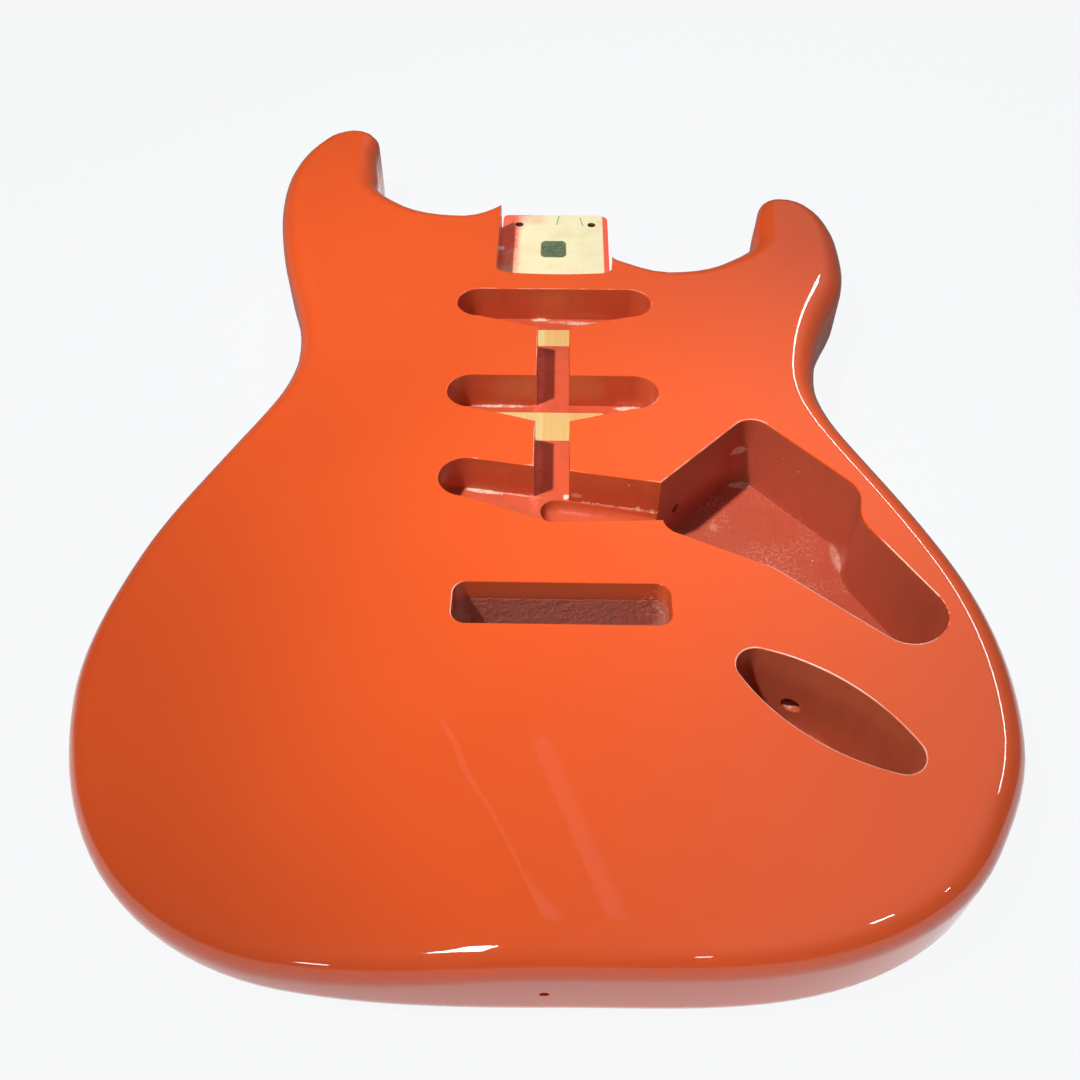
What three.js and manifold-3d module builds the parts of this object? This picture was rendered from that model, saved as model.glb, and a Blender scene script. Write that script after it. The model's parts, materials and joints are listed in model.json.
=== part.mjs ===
// Bare body of a double-cutaway electric guitar: three glued boards with every cavity routed.
// Millimetres. X runs to the treble side, Y to the neck, Z out of the front face.
// The origin is on the back face, on the centre line, under the end wall of the neck pocket.
import * as THREE from "three";
import { mergeVertices } from "three/addons/utils/BufferGeometryUtils.js";
import Module from "manifold-3d";

const wasm = await Module();
wasm.setup();

// Body blank
const BODY_WIDTH = 324;
const BODY_LENGTH = 467;
const BODY_THICKNESS = 44.45;
const EDGE_RADIUS = 12.7;
const HEEL_EDGE_RADIUS = 1.5;
const OUTLINE_STEP = 6.5;
const LEAST_STEPS = 4;
const STRAIGHT_ALLOWANCE = 0.001;
const WELD_DISTANCE = 0.0001;
const CENTRE_BOARD_WIDTH = 110;

// Neck pocket and the four screws of the neck joint
const POCKET_WIDTH = 56;
const POCKET_LENGTH = 78;
const POCKET_DEPTH = 15.9;
const POCKET_END_BOW = 2.2;
const POCKET_CORNER_RADIUS = 6;
const BASS_HEEL_CORNER_RADIUS = 3;
const TREBLE_HEEL_CORNER_RADIUS = 5;
const HEEL_SIDE_STEP = 0.4;
const BASS_HEEL_FOOT = 68;
const BASS_FOOT_TURN = { out: 1.75, down: 4.44 };
const TREBLE_HEEL_FOOT = 20;
const TREBLE_FOOT_TURN = { out: 3.18, down: 4.92 };
const NECK_SCREW_DIAMETER = 4.4;
const NECK_SCREW_ACROSS = 38.1;
const NECK_SCREW_ALONG = 50.8;
const NECK_SCREW_FROM_FRONT = 9.2;

// Pickup cavities
const PICKUP_LENGTH = 88.9;
const PICKUP_WIDTH = 20.8;
const PICKUP_DEPTH = 17.2;
const NECK_PICKUP_FROM_POCKET = 22.7;
const NECK_TO_MIDDLE_PICKUP = 62.7;
const MIDDLE_TO_BRIDGE_PICKUP = 57.15;
const BRIDGE_PICKUP_ANGLE = 9.6;
const CHANNEL_WIDTH = 14;
const FLARE_DEPTH = 8.3;
const BRIDGE_FLARE_DEPTH = 7.4;
const BRIDGE_FLARE_RISE = 1.9;

// Wiring groove in the floor of the bridge pickup cavity
const GROOVE_RADIUS = 6.35;
const GROOVE_START = 1.9;
const GROOVE_FROM_WALL = 0.4;
const GROOVE_LENGTH = 46;

// Control cavity
const CONTROL_DEPTH = 37;
const CONTROL_LENGTH = 134;
const CONTROL_ACROSS = 42;

// Jack cavity
const JACK_LENGTH = 66.4;
const JACK_WIDTH = 25.4;
const JACK_DEPTH = 38.1;
const JACK_END_RADIUS = 7.2;
const JACK_ANGLE = -38.3;
const JACK_ACROSS = 89.8;
const JACK_ALONG = -240.4;

// Tremolo slot, block cavity behind it and spring cavity in the back
const SLOT_LENGTH = 76.6;
const SLOT_WIDTH = 18.3;
const SLOT_ACROSS = 4.2;
const SLOT_ALONG = -198.8;
const SLOT_CORNER_RADIUS = 5;
const SLOT_LIP = 9;
const BLOCK_STEP = 1.6;
const BLOCK_SWING = 17;
const SPRING_WIDTH = 57;
const SPRING_LENGTH = 106;
const SPRING_DEPTH = 16;
const SPRING_CORNER_RADIUS = 8;

// Drilled holes
const JACK_WIRE_DIAMETER = 7;
const JACK_WIRE_MOUTH = { across: 85, along: -222.3, drop: 26.5 };
const JACK_WIRE_END = { across: 91, along: -184, drop: 24 };
const CLAW_WIRE_DIAMETER = 3.2;
const CLAW_WIRE_MOUTH = { across: 51, along: -130.5, drop: 23 };
const CLAW_WIRE_END = { across: 28.7, along: -127, drop: 36.5 };
const STRAP_HOLE_DIAMETER = 3;
const STRAP_HOLE_DEPTH = 25;

// Forearm contour on the front and belly contour on the back
const FOREARM_DEPTH = 17;
const FOREARM_END_REACH = 30;
const FOREARM_MIDDLE_REACH = 118;
const BELLY_DEPTH = 15;
const BELLY_END_REACH = 62;
const BELLY_MIDDLE_REACH = 62;
const CONTOUR_BOW = 6;
const FOREARM_ROLL_SHARE = 0.35;
const FOREARM_FADE_SHARE = 0.12;
const BELLY_ROLL_SHARE = 0.6;
const BELLY_FADE_SHARE = 0.4;

// One overrun serves every cut
const OVERRUN = 4;
const ARC_STEPS = 8;
const EDGE_STEPS = 6;
const CONTOUR_STEPS = 8;
const HOLE_SIDES = 16;

const half = (value) => value / 2;
const radians = THREE.MathUtils.degToRad;

// Outline knots, counterclockwise from the bass cutaway to the treble cutaway:
// place across as a share of the body width, place along as a share of the body length,
// heading in degrees, edge radius as a share of the full one.
const outlineShares = [
  [-0.1417, 0.1232, 176, 0.75],
  [-0.2308, 0.1433, 142, 1],
  [-0.2953, 0.1994, 96, 1],
  [-0.3089, 0.2811, 81, 0.75],
  [-0.3561, 0.3095, 185, 0.6],
  [-0.4085, 0.2888, 237, 0.8],
  [-0.4465, 0.1632, 275, 1],
  [-0.4152, 0.0495, 285, 1],
  [-0.3528, -0.1179, 272, 1],
  [-0.392, -0.2194, 240, 1],
  [-0.4897, -0.3508, 253, 1],
  [-0.5138, -0.4891, 280, 1],
  [-0.4183, -0.626, 316, 1],
  [-0.2434, -0.6849, 351, 1],
  [0.0201, -0.6924, 1, 1],
  [0.2842, -0.6758, 18, 1],
  [0.4206, -0.61, 56, 1],
  [0.4763, -0.5289, 79, 1],
  [0.4612, -0.3728, 108, 1],
  [0.3843, -0.2428, 114, 1],
  [0.3527, -0.145, 82, 1],
  [0.4123, -0.0199, 62, 1],
  [0.438, 0.068, 89, 1],
  [0.3563, 0.1612, 185, 0.68],
  [0.3248, 0.1429, 258, 0.6],
  [0.3057, 0.0857, 263, 1],
  [0.2406, 0.0357, 215, 1],
  [0.1677, 0.0187, 185, 0.75],
];
const FOOT_EDGE_SHARE = 0.35;

const heelSide = half(POCKET_WIDTH) - HEEL_SIDE_STEP;
const fullEdge = (share) => Math.max(share * EDGE_RADIUS, HEEL_EDGE_RADIUS);

// The heel block and its two feet follow the pocket, the rest follows the shares.
function outlineKnots() {
  const knots = outlineShares.map(([across, along, heading, edge]) => ({
    x: across * BODY_WIDTH,
    y: along * BODY_LENGTH,
    heading,
    edge: fullEdge(edge),
  }));
  const front = POCKET_LENGTH;
  const edge = HEEL_EDGE_RADIUS;
  const footEdge = fullEdge(FOOT_EDGE_SHARE);
  const foot = (side, height, turn) => ({ x: side * (heelSide + turn.out), y: height - turn.down });
  return [
    { x: -heelSide + BASS_HEEL_CORNER_RADIUS, y: front, heading: 180, edge },
    { x: -heelSide, y: front - BASS_HEEL_CORNER_RADIUS, heading: 270, edge },
    { x: -heelSide, y: BASS_HEEL_FOOT, heading: 270, edge },
    { ...foot(-1, BASS_HEEL_FOOT, BASS_FOOT_TURN), heading: 215, edge: footEdge },
    ...knots,
    { ...foot(1, TREBLE_HEEL_FOOT, TREBLE_FOOT_TURN), heading: 160, edge: footEdge },
    { x: heelSide, y: TREBLE_HEEL_FOOT, heading: 90, edge },
    { x: heelSide, y: front - TREBLE_HEEL_CORNER_RADIUS, heading: 90, edge },
    { x: heelSide - TREBLE_HEEL_CORNER_RADIUS, y: front, heading: 180, edge },
  ];
}

// A Bezier between two knots whose handles follow a circle for the turn between them.
function knotCurve(start, end) {
  const from = new THREE.Vector2(start.x, start.y);
  const to = new THREE.Vector2(end.x, end.y);
  const turn = radians(THREE.MathUtils.euclideanModulo(end.heading - start.heading + 180, 360) - 180);
  const handle = from.distanceTo(to) / 3 / Math.cos(turn / 4) ** 2;
  const direction = (knot) => {
    const angle = radians(knot.heading);
    return new THREE.Vector2(Math.cos(angle), Math.sin(angle));
  };
  const first = from.clone().addScaledVector(direction(start), handle);
  const second = to.clone().addScaledVector(direction(end), -handle);
  return new THREE.CubicBezierCurve(from, first, second, to);
}

// Places round the outline, each with its outward direction and its edge radius.
function outlineSamples() {
  const knots = outlineKnots();
  const samples = [];
  knots.forEach((knot, index) => {
    const next = knots[(index + 1) % knots.length];
    const curve = knotCurve(knot, next);
    const straight = curve.getLength() - curve.v0.distanceTo(curve.v3) < STRAIGHT_ALLOWANCE;
    const steps = straight ? 1 : Math.max(LEAST_STEPS, Math.round(curve.getLength() / OUTLINE_STEP));
    for (let step = 0; step < steps; step += 1) {
      const share = step / steps;
      const tangent = curve.getTangent(share);
      samples.push({
        point: curve.getPoint(share),
        outward: new THREE.Vector2(tangent.y, -tangent.x),
        edge: THREE.MathUtils.lerp(knot.edge, next.edge, share),
      });
    }
  });
  return samples;
}

// A contour falls away on the outer side of a slightly bowed line across the body. It rolls
// over softly, then runs straight to its reach, and fades out towards both ends of its line.
function contour({ startShares, endShares, depth, endReach, middleReach, rollShare, fadeShare }) {
  const start = new THREE.Vector2(startShares[0] * BODY_WIDTH, startShares[1] * BODY_LENGTH);
  const end = new THREE.Vector2(endShares[0] * BODY_WIDTH, endShares[1] * BODY_LENGTH);
  const along = end.clone().sub(start);
  const length = along.length();
  along.normalize();
  const outward = new THREE.Vector2(along.y, -along.x);
  const arch = (share) => 4 * share * (1 - share);
  const place = (point) => {
    const offset = point.clone().sub(start);
    const share = THREE.MathUtils.clamp(offset.dot(along) / length, 0, 1);
    return { beyond: offset.dot(outward) + CONTOUR_BOW * arch(share), share };
  };
  const fade = (share) => {
    const rise = THREE.MathUtils.smoothstep(share, 0, fadeShare);
    const fall = THREE.MathUtils.smoothstep(1 - share, 0, fadeShare);
    return rise * fall;
  };
  const drop = (point) => {
    const { beyond, share } = place(point);
    const reach = THREE.MathUtils.lerp(endReach, middleReach, arch(share));
    const run = THREE.MathUtils.clamp(beyond / reach, 0, 1);
    const rolled = run < rollShare ? run ** 2 / (2 * rollShare) : run - rollShare / 2;
    return depth * fade(share) * rolled / (1 - rollShare / 2);
  };
  // The places from the line out to a point, or that point alone where the line is not passed.
  const walk = (point) => {
    const { beyond, share } = place(point);
    const passed = share > 0 && share < 1 ? Math.max(beyond, 0) : 0;
    return Array.from({ length: CONTOUR_STEPS }, (_, step) => (
      point.clone().addScaledVector(outward, -passed * (1 - step / CONTOUR_STEPS))
    ));
  };
  return { drop, walk };
}

const forearm = contour({
  startShares: [-0.386, -0.128],
  endShares: [0.03, -0.72],
  depth: FOREARM_DEPTH,
  endReach: FOREARM_END_REACH,
  middleReach: FOREARM_MIDDLE_REACH,
  rollShare: FOREARM_ROLL_SHARE,
  fadeShare: FOREARM_FADE_SHARE,
});
const belly = contour({
  startShares: [-0.22, 0.10],
  endShares: [-0.20, -0.46],
  depth: BELLY_DEPTH,
  endReach: BELLY_END_REACH,
  middleReach: BELLY_MIDDLE_REACH,
  rollShare: BELLY_ROLL_SHARE,
  fadeShare: BELLY_FADE_SHARE,
});

// One section of the blank, from the middle of the back round the edge to the middle of the front.
function edgeSection({ point, outward, edge }) {
  const base = point.clone().addScaledVector(outward, -edge);
  const low = belly.drop(base);
  const high = BODY_THICKNESS - forearm.drop(base);
  const section = belly.walk(base).map((place) => [place.x, place.y, belly.drop(place)]);
  for (let step = 0; step <= EDGE_STEPS; step += 1) {
    const angle = half(Math.PI) * (1 - step / EDGE_STEPS);
    const place = base.clone().addScaledVector(outward, edge * Math.cos(angle));
    section.push([place.x, place.y, low + edge * (1 - Math.sin(angle))]);
  }
  for (let step = 0; step <= EDGE_STEPS; step += 1) {
    const angle = half(Math.PI) * step / EDGE_STEPS;
    const place = base.clone().addScaledVector(outward, edge * Math.cos(angle));
    section.push([place.x, place.y, high - edge * (1 - Math.sin(angle))]);
  }
  forearm.walk(base).reverse().forEach((place) => {
    section.push([place.x, place.y, BODY_THICKNESS - forearm.drop(place)]);
  });
  return section;
}

// A closed skin from sections: quads between neighbours and a flat cap inside each end ring.
function skin(sections) {
  const rows = sections.length;
  const columns = sections[0].length;
  const positions = sections.flat(2);
  const index = [];
  const at = (row, column) => (row % rows) * columns + column;
  for (let row = 0; row < rows; row += 1) {
    for (let column = 0; column + 1 < columns; column += 1) {
      const corners = [at(row, column), at(row + 1, column), at(row + 1, column + 1), at(row, column + 1)];
      index.push(corners[0], corners[1], corners[2], corners[0], corners[2], corners[3]);
    }
  }
  const cap = (column, upward) => {
    const ring = sections.map((section) => new THREE.Vector2(section[column][0], section[column][1]));
    THREE.ShapeUtils.triangulateShape(ring, []).forEach(([a, b, c]) => {
      const turn = THREE.ShapeUtils.area([ring[a], ring[b], ring[c]]) > 0;
      const triangle = turn === upward ? [a, b, c] : [a, c, b];
      index.push(...triangle.map((row) => at(row, column)));
    });
  };
  cap(0, false);
  cap(columns - 1, true);
  const geometry = new THREE.BufferGeometry();
  geometry.setAttribute("position", new THREE.Float32BufferAttribute(positions, 3));
  geometry.setIndex(index);
  return geometry;
}

// A closed three.js geometry as a solid for cutting and joining.
function solid(geometry) {
  const bare = geometry.clone();
  bare.deleteAttribute("normal");
  bare.deleteAttribute("uv");
  const merged = mergeVertices(bare, WELD_DISTANCE);
  const triangles = [];
  for (let start = 0; start < merged.index.count; start += 3) {
    const corners = [0, 1, 2].map((offset) => merged.index.getX(start + offset));
    if (new Set(corners).size === 3) {
      triangles.push(...corners);
    }
  }
  const mesh = new wasm.Mesh({
    numProp: 3,
    vertProperties: new Float32Array(merged.attributes.position.array),
    triVerts: new Uint32Array(triangles),
  });
  return new wasm.Manifold(mesh);
}

// A solid back as a three.js geometry.
function geometryOf(manifold) {
  const { numProp, vertProperties, triVerts } = manifold.getMesh();
  const positions = [];
  for (let start = 0; start < vertProperties.length; start += numProp) {
    positions.push(vertProperties[start], vertProperties[start + 1], vertProperties[start + 2]);
  }
  const geometry = new THREE.BufferGeometry();
  geometry.setAttribute("position", new THREE.Float32BufferAttribute(positions, 3));
  geometry.setIndex(Array.from(triVerts));
  geometry.computeVertexNormals();
  return geometry;
}

// A closed outline through corners, each rounded by its own radius.
function roundedShape(corners) {
  const shape = new THREE.Shape();
  const count = corners.length;
  corners.forEach(({ x, y, radius }, index) => {
    const corner = new THREE.Vector2(x, y);
    const before = corners[(index + count - 1) % count];
    const after = corners[(index + 1) % count];
    const back = new THREE.Vector2(before.x - x, before.y - y).normalize();
    const ahead = new THREE.Vector2(after.x - x, after.y - y).normalize();
    const opening = Math.acos(THREE.MathUtils.clamp(back.dot(ahead), -1, 1));
    const tangent = radius / Math.tan(half(opening));
    const entry = corner.clone().addScaledVector(back, tangent);
    const exit = corner.clone().addScaledVector(ahead, tangent);
    const middle = back.clone().add(ahead).normalize();
    const centre = corner.clone().addScaledVector(middle, radius / Math.sin(half(opening)));
    const clockwise = back.cross(ahead) > 0;
    const startAngle = Math.atan2(entry.y - centre.y, entry.x - centre.x);
    const endAngle = Math.atan2(exit.y - centre.y, exit.x - centre.x);
    if (index === 0) {
      shape.moveTo(entry.x, entry.y);
    } else {
      shape.lineTo(entry.x, entry.y);
    }
    shape.absarc(centre.x, centre.y, radius, startAngle, endAngle, clockwise);
  });
  shape.closePath();
  return shape;
}

const rectangle = (left, right, bottom, top, radius) => roundedShape([
  { x: left, y: bottom, radius },
  { x: right, y: bottom, radius },
  { x: right, y: top, radius },
  { x: left, y: top, radius },
]);

// An upright cut between two heights.
function cut(shape, bottom, top) {
  const geometry = new THREE.ExtrudeGeometry(shape, {
    depth: top - bottom,
    bevelEnabled: false,
    curveSegments: ARC_STEPS,
  });
  geometry.translate(0, 0, bottom);
  return solid(geometry);
}

const fromFront = (shape, depth) => cut(shape, BODY_THICKNESS - depth, BODY_THICKNESS + OVERRUN);

// A round hole between two points, run on past the first by the overrun.
function drilled(from, to, diameter) {
  const direction = to.clone().sub(from).normalize();
  const start = from.clone().addScaledVector(direction, -OVERRUN);
  const geometry = new THREE.CylinderGeometry(half(diameter), half(diameter), start.distanceTo(to), HOLE_SIDES);
  const turn = new THREE.Quaternion().setFromUnitVectors(new THREE.Vector3(0, 1, 0), direction);
  geometry.applyQuaternion(turn);
  const middle = start.clone().lerp(to, 0.5);
  geometry.translate(middle.x, middle.y, middle.z);
  return solid(geometry);
}

// Neck pocket: open to the front edge and to the treble cutaway, its end wall slightly bowed.
function neckPocket() {
  const side = half(POCKET_WIDTH);
  const shape = new THREE.Shape();
  const open = POCKET_LENGTH + EDGE_RADIUS;
  const corner = POCKET_CORNER_RADIUS;
  const rise = half(POCKET_END_BOW);
  shape.moveTo(-side, open);
  shape.lineTo(-side, corner + POCKET_END_BOW);
  shape.quadraticCurveTo(-side, POCKET_END_BOW, -side + corner, rise);
  shape.quadraticCurveTo(0, -rise, side - corner, rise);
  shape.quadraticCurveTo(side, POCKET_END_BOW, side, corner + POCKET_END_BOW);
  shape.lineTo(side, open);
  shape.closePath();
  return fromFront(shape, POCKET_DEPTH);
}

function neckScrewHoles() {
  const frontRow = POCKET_LENGTH - NECK_SCREW_FROM_FRONT;
  const places = [-1, 1].flatMap((sideSign) => [0, NECK_SCREW_ALONG].map((back) => (
    [sideSign * half(NECK_SCREW_ACROSS), frontRow - back]
  )));
  return places.map(([x, y]) => drilled(
    new THREE.Vector3(x, y, 0),
    new THREE.Vector3(x, y, BODY_THICKNESS),
    NECK_SCREW_DIAMETER,
  ));
}

const neckPickupY = -NECK_PICKUP_FROM_POCKET;
const middlePickupY = neckPickupY - NECK_TO_MIDDLE_PICKUP;
const bridgePickupY = middlePickupY - MIDDLE_TO_BRIDGE_PICKUP;
const bridgeSlope = -Math.tan(radians(BRIDGE_PICKUP_ANGLE));

// A pickup cavity with round ends, turned about its middle.
function pickupShape(middleY, angle) {
  const radius = half(PICKUP_WIDTH);
  const straight = half(PICKUP_LENGTH) - radius;
  const turn = radians(angle);
  const centre = (sign) => [sign * straight * Math.cos(turn), middleY + sign * straight * Math.sin(turn)];
  const [rightX, rightY] = centre(1);
  const [leftX, leftY] = centre(-1);
  const quarter = half(Math.PI);
  const shape = new THREE.Shape();
  shape.absarc(rightX, rightY, radius, turn - quarter, turn + quarter, false);
  shape.absarc(leftX, leftY, radius, turn + quarter, turn + 3 * quarter, false);
  shape.closePath();
  return shape;
}

// The butt side of a pickup cavity widens in a shallow V towards the wiring channel.
function flareShape(middleY) {
  const reach = half(PICKUP_LENGTH) - half(PICKUP_WIDTH);
  const inner = half(CHANNEL_WIDTH);
  const nearSide = middleY - half(PICKUP_WIDTH);
  const shape = new THREE.Shape();
  shape.moveTo(-reach, nearSide);
  shape.lineTo(-inner, nearSide - FLARE_DEPTH);
  shape.lineTo(inner, nearSide - FLARE_DEPTH);
  shape.lineTo(reach, nearSide);
  shape.lineTo(reach, middleY);
  shape.lineTo(-reach, middleY);
  shape.closePath();
  return shape;
}

// The flare of the slanted cavity rises a little towards the control cavity and runs on into it,
// and so does the straight far wall.
function bridgeFlareShape() {
  const reach = half(PICKUP_LENGTH) - half(PICKUP_WIDTH);
  const farStep = half(PICKUP_WIDTH) / Math.cos(radians(BRIDGE_PICKUP_ANGLE));
  const nearSide = (x) => bridgePickupY + bridgeSlope * x - half(PICKUP_WIDTH);
  const farSide = (x) => bridgePickupY + bridgeSlope * x + farStep;
  const deepest = nearSide(0) - BRIDGE_FLARE_DEPTH;
  const shape = new THREE.Shape();
  shape.moveTo(-reach, nearSide(-reach));
  shape.lineTo(0, deepest);
  shape.lineTo(CONTROL_ACROSS + OVERRUN, deepest + BRIDGE_FLARE_RISE);
  shape.lineTo(CONTROL_ACROSS + OVERRUN, farSide(CONTROL_ACROSS + OVERRUN));
  shape.lineTo(0, farSide(0));
  shape.lineTo(-reach, bridgePickupY - bridgeSlope * reach);
  shape.closePath();
  return shape;
}

function pickupCavities() {
  const channel = half(CHANNEL_WIDTH);
  const shapes = [
    pickupShape(neckPickupY, 0),
    pickupShape(middlePickupY, 0),
    pickupShape(bridgePickupY, -BRIDGE_PICKUP_ANGLE),
    flareShape(neckPickupY),
    flareShape(middlePickupY),
    bridgeFlareShape(),
  ];
  const channelShape = new THREE.Shape();
  channelShape.moveTo(-channel, bridgePickupY);
  channelShape.lineTo(channel, bridgePickupY);
  channelShape.lineTo(channel, neckPickupY);
  channelShape.lineTo(-channel, neckPickupY);
  channelShape.closePath();
  return [...shapes, channelShape].map((shape) => fromFront(shape, PICKUP_DEPTH));
}

// Corners of the control cavity as shares of its length, from its bridge end and the middle of
// the bridge pickup: place across, place along, radius.
const controlShares = [
  [0, 0.023, 0.015],
  [0.295, 0.332, 0.0635],
  [0.574, 0.011, 0.09],
  [0.550, -0.109, 0.1185],
  [0.7425, -0.4525, 0.0948],
  [0.606, -0.5645, 0.0948],
  [0.284, -0.287, 0.1327],
  [0, -0.151, 0.0597],
];

function controlCavity() {
  const corners = controlShares.map(([across, along, radius]) => ({
    x: CONTROL_ACROSS + across * CONTROL_LENGTH,
    y: bridgePickupY + along * CONTROL_LENGTH,
    radius: radius * CONTROL_LENGTH,
  }));
  return fromFront(roundedShape(corners), CONTROL_DEPTH);
}

// A round-bottomed groove along the foot of the cavity's neck side takes the wires of all three
// pickups to the control cavity.
function wiringGroove() {
  const height = BODY_THICKNESS - PICKUP_DEPTH;
  const angle = radians(BRIDGE_PICKUP_ANGLE);
  const offset = half(PICKUP_WIDTH) - GROOVE_FROM_WALL - GROOVE_RADIUS;
  const start = new THREE.Vector3(
    GROOVE_START,
    bridgePickupY + bridgeSlope * GROOVE_START + offset / Math.cos(angle),
    height,
  );
  const end = new THREE.Vector3(
    start.x + GROOVE_LENGTH * Math.cos(angle),
    start.y - GROOVE_LENGTH * Math.sin(angle),
    height,
  );
  const ball = new THREE.SphereGeometry(GROOVE_RADIUS, HOLE_SIDES, half(HOLE_SIDES));
  ball.rotateX(half(Math.PI));
  ball.translate(start.x, start.y, start.z);
  const rod = new THREE.CylinderGeometry(GROOVE_RADIUS, GROOVE_RADIUS, GROOVE_LENGTH, HOLE_SIDES);
  const turn = new THREE.Quaternion().setFromUnitVectors(
    new THREE.Vector3(0, 1, 0),
    end.clone().sub(start).normalize(),
  );
  rod.applyQuaternion(turn);
  const middle = start.clone().lerp(end, 0.5);
  rod.translate(middle.x, middle.y, middle.z);
  return solid(ball).add(solid(rod));
}

// Jack cavity: a boat shape, two bowed sides tangent to two round ends.
function jackCavity() {
  const endCentre = half(JACK_LENGTH) - JACK_END_RADIUS;
  const sideRadius = (endCentre ** 2 + half(JACK_WIDTH) ** 2 - JACK_END_RADIUS ** 2)
    / (JACK_WIDTH - 2 * JACK_END_RADIUS);
  const sideCentre = sideRadius - half(JACK_WIDTH);
  const swing = Math.atan2(endCentre, sideCentre);
  const quarter = half(Math.PI);
  const shape = new THREE.Shape();
  shape.absarc(endCentre, 0, JACK_END_RADIUS, swing - quarter, quarter - swing, false);
  shape.absarc(0, -sideCentre, sideRadius, quarter - swing, quarter + swing, false);
  shape.absarc(-endCentre, 0, JACK_END_RADIUS, quarter + swing, 3 * quarter - swing, false);
  shape.absarc(0, sideCentre, sideRadius, 3 * quarter - swing, 3 * quarter + swing, false);
  shape.closePath();
  const geometry = new THREE.ExtrudeGeometry(shape, {
    depth: JACK_DEPTH + OVERRUN,
    bevelEnabled: false,
    curveSegments: ARC_STEPS,
  });
  geometry.rotateZ(radians(JACK_ANGLE));
  geometry.translate(JACK_ACROSS, JACK_ALONG, BODY_THICKNESS - JACK_DEPTH);
  return solid(geometry);
}

// Tremolo slot through the front, and the wider block and spring cavities from the back.
function tremoloCavities() {
  const left = SLOT_ACROSS - half(SLOT_LENGTH);
  const right = SLOT_ACROSS + half(SLOT_LENGTH);
  const near = SLOT_ALONG - half(SLOT_WIDTH);
  const far = SLOT_ALONG + half(SLOT_WIDTH);
  const roof = BODY_THICKNESS - SLOT_LIP;
  const springLeft = SLOT_ACROSS - half(SPRING_WIDTH);
  const springRight = SLOT_ACROSS + half(SPRING_WIDTH);
  const springFar = far + SPRING_LENGTH;
  return [
    cut(rectangle(left, right, near, far, SLOT_CORNER_RADIUS), roof - OVERRUN, BODY_THICKNESS + OVERRUN),
    cut(rectangle(left, right, near - BLOCK_SWING, far + BLOCK_STEP, SLOT_CORNER_RADIUS), -OVERRUN, roof),
    cut(rectangle(springLeft, springRight, far, springFar, SPRING_CORNER_RADIUS), -OVERRUN, SPRING_DEPTH),
  ];
}

// Wire holes between the cavities.
function wireHoles() {
  const place = ({ across, along, drop }) => new THREE.Vector3(across, along, BODY_THICKNESS - drop);
  return [
    drilled(place(JACK_WIRE_MOUTH), place(JACK_WIRE_END), JACK_WIRE_DIAMETER),
    drilled(place(CLAW_WIRE_MOUTH), place(CLAW_WIRE_END), CLAW_WIRE_DIAMETER),
  ];
}

// Pilot holes for the two strap buttons, at the middle of the butt and at the tip of the horn.
const strapPlaceShares = [
  [0, -0.692, 1],
  [-0.345, 0.3125, -1],
];

function strapHoles() {
  return strapPlaceShares.map(([across, along, inward]) => {
    const mouth = new THREE.Vector3(across * BODY_WIDTH, along * BODY_LENGTH, half(BODY_THICKNESS));
    const end = mouth.clone();
    end.y += inward * STRAP_HOLE_DEPTH;
    return drilled(mouth, end, STRAP_HOLE_DIAMETER);
  });
}

// The routed body in one piece, before it is told apart into its boards.
function routedBody() {
  const cuts = [
    neckPocket(),
    ...neckScrewHoles(),
    ...pickupCavities(),
    wiringGroove(),
    controlCavity(),
    jackCavity(),
    ...tremoloCavities(),
    ...wireHoles(),
    ...strapHoles(),
  ];
  const blank = solid(skin(outlineSamples().map(edgeSection)));
  return cuts.reduce((body, tool) => body.subtract(tool), blank);
}

// The part of the body between two glue joints.
function board(body, left, right) {
  const slab = new THREE.BoxGeometry(right - left, 2 * BODY_LENGTH, 2 * BODY_WIDTH);
  slab.translate(half(left + right), 0, 0);
  return geometryOf(body.intersect(solid(slab)));
}

const finish = { color: 0xf76538, roughness: 0.12, metalness: 0 };
const joint = half(CENTRE_BOARD_WIDTH);
const body = routedBody();
const boards = [
  ["bass_wing_board", -BODY_WIDTH, -joint],
  ["centre_board", -joint, joint],
  ["treble_wing_board", joint, BODY_WIDTH],
];

const guitarBody = new THREE.Group();
boards.forEach(([name, left, right]) => {
  const mesh = new THREE.Mesh(board(body, left, right), new THREE.MeshStandardMaterial(finish));
  mesh.name = name;
  guitarBody.add(mesh);
});

export default guitarBody;
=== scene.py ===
# %% [markdown]
# # A lacquered guitar body
# The part is the bare wooden body of an electric guitar: three glued boards, carved and routed,
# under one glossy coat of orange-red lacquer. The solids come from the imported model, in metres:
# X runs to the treble side, Y to the neck and Z out of the front. Here they get their finish.

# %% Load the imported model
import bpy
import json
import math
from mathutils import Matrix, Vector

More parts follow.
